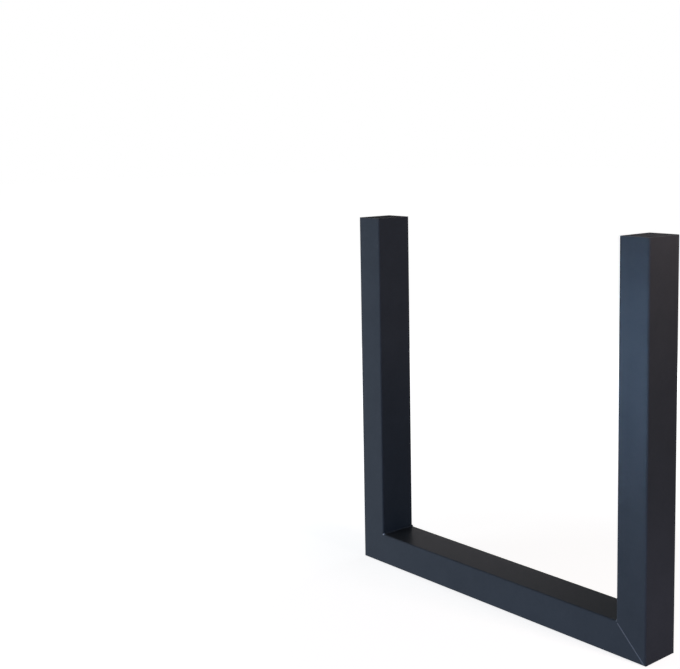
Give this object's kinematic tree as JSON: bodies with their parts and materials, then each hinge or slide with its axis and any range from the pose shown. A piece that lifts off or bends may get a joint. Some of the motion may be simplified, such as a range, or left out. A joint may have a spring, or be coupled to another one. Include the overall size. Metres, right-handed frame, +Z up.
{
  "type": "u shaped table leg",
  "caption": "U-shaped table leg of welded rectangular steel tube with mitred lower corners and flush tapped top plates, powder-coated black.",
  "frame": {"origin": "on the floor under the middle of the floor bar", "axes": "+Z up, +X across the U from the left upright to the right upright, +Y through the tube's depth from the front to the back"},
  "size_m": [0.71, 0.0808, 0.7],
  "materials": {
    "black_powder_coat": "satin black powder coat with a fine orange peel, duller on the ground tops",
    "coated_weld": "satin black powder coat over weld beads, rubbed shiny in places"
  },
  "bodies": {
    "root": {"left_upright": "black_powder_coat", "right_upright": "black_powder_coat", "floor_bar": "black_powder_coat", "left_top_plate": "black_powder_coat", "right_top_plate": "black_powder_coat", "left_mitre_weld": "coated_weld", "right_mitre_weld": "coated_weld", "left_plate_weld": "coated_weld", "right_plate_weld": "coated_weld"}
  },
  "joints": []
}
